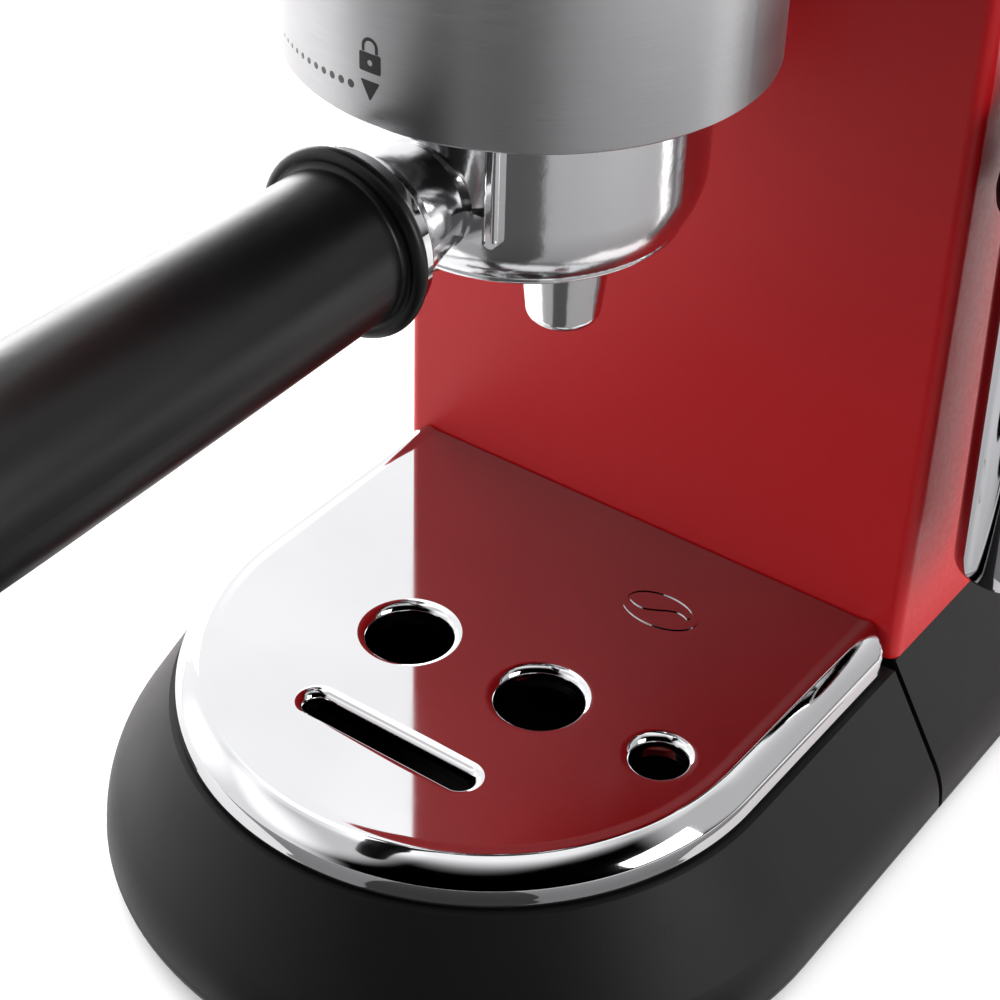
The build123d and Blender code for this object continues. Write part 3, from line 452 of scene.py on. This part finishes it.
def ring_strips(bm, rings, closed):
    """Smooth quads between successive rows of points; gives the rows' vertices."""
    rows = [[bm.verts.new(point) for point in ring] for ring in rings]
    count = len(rows[0])
    for near, far in zip(rows, rows[1:]):
        for i in range(count if closed else count - 1):
            j = (i + 1) % count
            bm.faces.new((near[i], near[j], far[j], far[i])).smooth = True
    return rows


def loop_edges(bm, row):
    """The edges of a closed row of vertices, made where they're missing."""
    pairs = zip(row, row[1:] + row[:1])
    return [bm.edges.get(pair) or bm.edges.new(pair) for pair in pairs]


def finish_mesh(name, bm, slot, body):
    """Turn a bmesh in millimetres into a piece that rides on a body."""
    bmesh.ops.recalc_face_normals(bm, faces=bm.faces)
    bmesh.ops.scale(bm, vec=(MM, MM, MM), verts=bm.verts)
    mesh = bpy.data.meshes.new(name)
    bm.to_mesh(mesh)
    bm.free()
    mesh.materials.append(MATERIALS[slot])
    piece = link(name, mesh)
    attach(piece, body)
    return piece


def stadium(place, straight, radius, steps):
    """Points round two half circles joined by straight sides, or a circle if straight is 0."""
    points = []
    for i in range(steps):
        angle = 2 * math.pi * (i + 0.5) / steps
        shift = math.copysign(straight, math.cos(angle))
        points.append((place[0] + shift + radius * math.cos(angle), place[1] + radius * math.sin(angle)))
    return points


# Tray cover, in millimetres from the centre of its round nose

COVER_REACH = 60.7
COVER_EDGE_R = 6.0
COVER_TOP = 43.2
COVER_SHEET = 1.8
COVER_REAR = 53.8
ROLL_R = 2.2
COLLAR_WALL = 1.4
COLLAR_LOW = COVER_TOP - 4.8
# Each hole is its place, half the length of its straight sides, and its radius.
COVER_HOLES = [
    ((-15.6, -4.2), 0.0, 8.3),
    ((15.6, -4.2), 0.0, 8.3),
    ((42.7, -4.1), 0.0, 5.2),
    ((0.0, -31.1), 16.7, 2.6),
]
COVER_CROWN = 0.35
SKIRT_FOOT = 31.6
NOSE_STEPS = 144
CORNER_STEPS = 8
ROLL_STEPS = 10
HOLE_STEPS = 72


def bezier(a, b, c, d, steps):
    """Points of a cubic curve, without the first."""
    points = []
    for i in range(1, steps + 1):
        t = i / steps
        weights = ((1 - t) ** 3, 3 * t * (1 - t) ** 2, 3 * t * t * (1 - t), t**3)
        points.append(tuple(sum(w * p[k] for w, p in zip(weights, (a, b, c, d))) for k in (0, 1)))
    return points


def cover_nose():
    """Centre of the cover's round nose, on the table, in millimetres."""
    low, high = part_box("tray_cover")
    return Vector(((low.x + high.x) / 2 / MM, high.y / MM - COVER_REAR, 0))


def cover_profile():
    """Section of the rim, the convex band and the skirt below it, as radius and height."""
    top = COVER_TOP
    start, crest, shoulder = (52.6, top), (55.0, top + COVER_CROWN), (56.0, top + 0.02)
    knee, hem = (59.9, top - 3.5), (60.55, 36.6)
    points = [start]
    points += bezier(start, (53.4, top), (54.2, top + COVER_CROWN), crest, 6)
    points += bezier(crest, (55.4, top + COVER_CROWN), (55.7, top + 0.22), shoulder, 6)
    points += bezier(shoulder, (57.0, top - 0.45), (59.0, top - 2.3), knee, 12)
    points += bezier(knee, (60.35, top - 4.1), (60.5, 38.0), hem, 8)
    points += [(60.6, 36.3), (60.6, 35.7), (60.2, 35.1), (58.4, 35.1), (58.4, SKIRT_FOOT)]
    return points + [(56.9, SKIRT_FOOT), (56.9, 36.4), (53.4, top - COVER_SHEET)]


def cover_row(radius, height):
    """The line of a profile point: up the left side, round the nose and down the right side."""
    flank_end = COVER_REAR - COVER_EDGE_R
    turns = [math.pi * i / (2 * CORNER_STEPS) for i in range(CORNER_STEPS + 1)]
    flank = []
    for y in [flank_end + COVER_EDGE_R * math.sin(turn) for turn in turns]:
        reach = COVER_REACH - COVER_EDGE_R
        reach += math.sqrt(max(COVER_EDGE_R**2 - (y - flank_end) ** 2, 0.0))
        flank.append((min(radius, reach), y, height))
    left = [(-x, y, z) for x, y, z in reversed(flank)]
    nose = []
    for i in range(NOSE_STEPS + 1):
        angle = math.pi * (1 + i / NOSE_STEPS)
        nose.append((radius * math.cos(angle), radius * math.sin(angle), height))
    return left + nose + flank


def tray_cover():
    """Polished cup stand: flat plate, raised rim, convex band and rolled collars round its holes."""
    bm = bmesh.new()
    rows = ring_strips(bm, [cover_row(*point) for point in cover_profile()], closed=False)
    upper, lower = loop_edges(bm, rows[0]), loop_edges(bm, rows[-1])
    turns = [math.pi / 2 * i / ROLL_STEPS for i in range(ROLL_STEPS + 1)]
    roll = [(ROLL_R * (1 - math.sin(a)), COVER_TOP - ROLL_R * (1 - math.cos(a))) for a in turns]
    collar = roll + [(0, COLLAR_LOW), (COLLAR_WALL, COLLAR_LOW), (COLLAR_WALL, COVER_TOP - COVER_SHEET)]
    for place, straight, radius in COVER_HOLES:
        rings = [
            [(x, y, height) for x, y in stadium(place, straight, radius + out, HOLE_STEPS)]
            for out, height in collar
        ]
        rings = ring_strips(bm, rings, closed=True)
        upper += loop_edges(bm, rings[0])
        lower += loop_edges(bm, rings[-1])
    for edges in (upper, lower):
        bmesh.ops.triangle_fill(bm, edges=edges, use_beauty=True)
    bmesh.ops.holes_fill(bm, edges=bm.edges, sides=0)
    bmesh.ops.translate(bm, vec=cover_nose(), verts=bm.verts)
    piece = finish_mesh("tray_cover_polished", bm, "polished_chrome", "tray_cover")
    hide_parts("tray_cover")


SLEEVE_TAPER = 1.5
SLEEVE_CONE_INSET = 3.3
SLEEVE_BORE_R = 6.0
SLEEVE_BORE_DEPTH = 6.0
SLEEVE_CONE_DEPTH = 10.0
# Each edge is broken by a distance across and a distance up.
SLEEVE_FOOT_EDGE = (0.2, 0.6)
SLEEVE_TOP_EDGE = (0.5, 1.0)
SLEEVE_STEPS = 128
EDGE_SHARES = (0.04, 0.08, 0.5, 0.92, 0.96)
MERGE_DISTANCE = 0.0001


def froth_sleeve():
    """Chrome sleeve of the steam wand, a little wider at the top, with softened edges."""
    low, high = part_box("froth_sleeve")
    centre = (low + high) / 2 / MM
    height = (high.z - low.z) / MM
    radius = (high.x - low.x) / 2 / MM
    corners = [
        (radius - SLEEVE_CONE_INSET, 0.0),
        (radius - SLEEVE_TAPER - SLEEVE_FOOT_EDGE[0], 0.0),
        (radius - SLEEVE_TAPER, SLEEVE_FOOT_EDGE[1]),
        (radius, height - SLEEVE_TOP_EDGE[1]),
        (radius - SLEEVE_TOP_EDGE[0], height),
        (SLEEVE_BORE_R, height),
        (SLEEVE_BORE_R, height - SLEEVE_BORE_DEPTH),
        (radius - SLEEVE_CONE_INSET, height - SLEEVE_CONE_DEPTH),
    ]
    section = []
    for (r, z), (next_r, next_z) in zip(corners, corners[1:] + corners[:1]):
        for share in EDGE_SHARES:
            section.append((r + (next_r - r) * share, z + (next_z - z) * share))
    turns = [2 * math.pi * i / SLEEVE_STEPS for i in range(SLEEVE_STEPS)]
    rings = [
        [(centre.x + r * math.cos(a), centre.y + r * math.sin(a), low.z / MM + z) for a in turns]
        for r, z in section + section[:1]
    ]
    bm = bmesh.new()
    ring_strips(bm, rings, closed=True)
    bmesh.ops.remove_doubles(bm, verts=bm.verts, dist=MERGE_DISTANCE)
    piece = finish_mesh("froth_sleeve_polished", bm, "polished_chrome", "froth_sleeve")
    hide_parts("froth_sleeve")


# Printed and raised marks, in millimetres

BEND_STEP = 0.6
MARK_SINK = 0.03
SHROUD_SINK = 0.05
PRINT_THICKNESS = 0.07
ICON_THICKNESS = 0.08
BEAN_THICKNESS = 0.25


def plaque(name, shapes, thickness, place, slot, body):
    """Thin raised shapes, each an outline and its holes, bent onto a surface by place(u, v, t)."""
    bm = bmesh.new()
    for loops in shapes:
        edges = []
        for loop in loops:
            edges += loop_edges(bm, [bm.verts.new((u, v, 0)) for u, v in loop])
        bmesh.ops.triangle_fill(bm, edges=edges, use_beauty=True)
    extent = [vert.co.x for vert in bm.verts]
    steps = int((max(extent) - min(extent)) / BEND_STEP)
    for i in range(1, steps):
        everything = bm.verts[:] + bm.edges[:] + bm.faces[:]
        cut = (min(extent) + i * BEND_STEP, 0, 0)
        bmesh.ops.bisect_plane(bm, geom=everything, plane_co=cut, plane_no=(1, 0, 0))
    raised = bmesh.ops.extrude_face_region(bm, geom=bm.faces[:])["geom"]
    for item in raised:
        if isinstance(item, bmesh.types.BMVert):
            item.co.z = thickness
    for vert in bm.verts:
        vert.co = place(*vert.co)
    return finish_mesh(name, bm, slot, body)


def on_shroud(angle, height):
    """Placing on the shroud at an angle from the front, towards the right, in degrees."""
    radius = GROUP_R / MM
    centre = GROUP / MM

    def place(u, v, t):
        turn = math.radians(angle) + u / radius
        reach = radius - SHROUD_SINK + t
        return (centre.x + reach * math.sin(turn), centre.y - reach * math.cos(turn), height + v)

    return place


def on_top(node):
    """Placing on the flat top of a CAD node, from its middle."""
    low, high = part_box(node)
    centre = (low + high) / 2 / MM

    def place(u, v, t):
        return (centre.x + u, centre.y + v, high.z / MM - MARK_SINK + t)

    return place


def circle(x, y, radius, steps):
    """A round outline."""
    return stadium((x, y), 0.0, radius, steps)


def band(points, width):
    """A closed outline of a line of some width."""
    left, right = [], []
    for i, point in enumerate(points):
        before, after = points[max(i - 1, 0)], points[min(i + 1, len(points) - 1)]
        along = Vector((after[0] - before[0], after[1] - before[1])).normalized() * width / 2
        left.append((point[0] - along.y, point[1] + along.x))
        right.append((point[0] + along.y, point[1] - along.x))
    return left + right[::-1]


def arc(x, y, radius, start, end, steps=20):
    """Points on an arc, angles in degrees."""
    turns = [math.radians(start + (end - start) * i / steps) for i in range(steps + 1)]
    return [(x + radius * math.cos(a), y + radius * math.sin(a)) for a in turns]


def rounded(points, radius, steps=5):
    """A polygon with its corners rounded."""
    outline = []
    for i, corner in enumerate(points):
        corner = Vector(corner)
        before = (Vector(points[i - 1]) - corner).normalized() * radius
        after = (Vector(points[(i + 1) % len(points)]) - corner).normalized() * radius
        for k in range(steps + 1):
            t = k / steps
            outline.append(tuple(corner + before * (1 - t) ** 2 + after * t * t))
    return outline


SHACKLE_R = 1.3


def padlock():
    """A padlock pictogram: body with a keyhole, and its shackle."""
    body = rounded([(-2.1, -2.2), (2.1, -2.2), (2.1, 1.0), (-2.1, 1.0)], 0.4)
    shackle = [(SHACKLE_R, 1.1)] + arc(0, 2.0, SHACKLE_R, 0, 180) + [(-SHACKLE_R, 1.1)]
    return [[body, circle(0, -0.6, 0.5, steps=16)], [band(shackle, width=0.55)]]


# Places on the shroud: degrees from the front, towards the right, and height.
POINTER_PLACE = (-1.3, 176.9)
LOCKED_PLACE = (-1.3, 182.2)
DOTS_FROM = (-37.0, 175.8)
DOTS_TO = (-6.8, 176.9)
DOT_COUNT = 11
DOT_SMALLEST_R = 0.34
DOT_GROWTH = 0.036


def shroud_marks():
    """Black printed lock scale on the shroud: growing dots, a pointer and a padlock."""

    def printed(name, shapes, place):
        plaque(name, shapes, PRINT_THICKNESS, on_shroud(*place), "black_gloss", "machine")

    printed("mark_pointer", [[rounded([(-1.9, 1.7), (1.9, 1.7), (0, -1.7)], 0.35)]], POINTER_PLACE)
    printed("mark_locked", padlock(), LOCKED_PLACE)
    for i in range(DOT_COUNT):
        place = [start + (end - start) * i / (DOT_COUNT - 1) for start, end in zip(DOTS_FROM, DOTS_TO)]
        dot = [[circle(0, 0, DOT_SMALLEST_R + DOT_GROWTH * i, steps=20)]]
        printed(f"mark_dot_{i + 1}", dot, place)


BEAN_OFFSET = (19.5, 31.9)
BEAN_REACH = (8.4, 5.4)
BEAN_HOLLOW = (0.87, 0.81)
BEAN_STEPS = 72
CREASE_REACH = 6.2
CREASE_SWAY = 1.5
CREASE_BEND = 0.42
CREASE_STEPS = 40


def wave(reach, steps, sway, bend):
    """Points of a sine wave about a straight line, as places along it and beside it."""
    along = [-reach + 2 * reach * i / steps for i in range(steps + 1)]
    return [(t, sway * math.sin(t * bend)) for t in along]


def bean_motif():
    """Raised coffee bean outline on the cup stand, with its wavy crease."""
    turns = [2 * math.pi * i / BEAN_STEPS for i in range(BEAN_STEPS)]
    rim = [(BEAN_REACH[0] * math.cos(a), BEAN_REACH[1] * math.sin(a)) for a in turns]
    inner = [(x * BEAN_HOLLOW[0], y * BEAN_HOLLOW[1]) for x, y in rim]
    crease = wave(CREASE_REACH, CREASE_STEPS, CREASE_SWAY, CREASE_BEND)
    shapes = [[rim, inner], [band(crease, width=0.8)]]
    middle_x, middle_y, _ = cover_nose() + Vector((*BEAN_OFFSET, 0))

    def place(u, v, t):
        return (middle_x + u, middle_y + v, COVER_TOP - MARK_SINK + t)

    plaque("bean_motif", shapes, BEAN_THICKNESS, place, "polished_chrome", "tray_cover")


def cup_outline(x):
    """A small cup seen from the side, with its handle."""
    cup = rounded([(x - 1.7, 1.4), (x + 1.7, 1.4), (x + 1.3, -1.4), (x - 1.3, -1.4)], 0.5)
    return [[cup], [band(arc(x + 1.8, 0.3, 0.8, 90, -90, steps=12), width=0.4)]]


STEAM_REACH = 2.4
STEAM_SWAY = 0.5
STEAM_BEND = 1.5
STEAM_STEPS = 24


def button_icons():
    """Pictograms on the three buttons: one cup, two cups and steam."""
    wisp = wave(STEAM_REACH, STEAM_STEPS, STEAM_SWAY, STEAM_BEND)
    steam = [[band([(x + beside, along) for along, beside in wisp], width=0.6)] for x in (-2.0, 0.0, 2.0)]
    icons = {
        "button_one_cup": cup_outline(0),
        "button_two_cups": cup_outline(-2.6) + cup_outline(2.6),
        "button_steam": steam,
    }
    for node, shapes in icons.items():
        plaque(f"icon_{node}", shapes, ICON_THICKNESS, on_top(node), "black_gloss", node)


# The tank's box ends at its hinge, this far behind its rear wall.
HINGE_REACH = 4.4
LEVEL_COUNT = 7
LEVEL_LOWEST = 70
LEVEL_SPACING = 30
LEVEL_LINE = 1.4
LEVEL_HALF = 7
FULL_HALF = 14


def tank_marks():
    """White level lines on the tank's rear wall, the longest at the full mark."""
    low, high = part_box("water_tank")
    middle_x = (low.x + high.x) / 2 / MM
    wall = high.y / MM - HINGE_REACH

    def place(u, v, t):
        return (middle_x - u, wall - MARK_SINK + t, v)

    shapes = []
    for i in range(LEVEL_COUNT):
        foot = LEVEL_LOWEST + LEVEL_SPACING * i
        top = foot + LEVEL_LINE
        half = FULL_HALF if i == LEVEL_COUNT - 1 else LEVEL_HALF
        shapes.append([rounded([(-half, foot), (half, foot), (half, top), (-half, top)], 0.5)])
    plaque("tank_level_marks", shapes, ICON_THICKNESS, place, "white_plastic", "water_tank")


make_camera()
make_world()
make_lights()
make_floor()
MATERIALS = slot_materials()
MATERIALS["group_brushed"] = brushed_round("group_brushed", GROUP, (0.43, 0.43, 0.44), (0.465, 0.465, 0.475))
SLOTS = {part["node"]: part["material_slot"] for part in frame["record"]["subparts"]}
for name, piece in NODES.items():
    piece.data.materials.clear()
    piece.data.materials.append(MATERIALS["group_brushed" if name == "group_shroud" else SLOTS[name]])

tray_cover()
froth_sleeve()
shroud_marks()
bean_motif()
button_icons()
tank_marks()
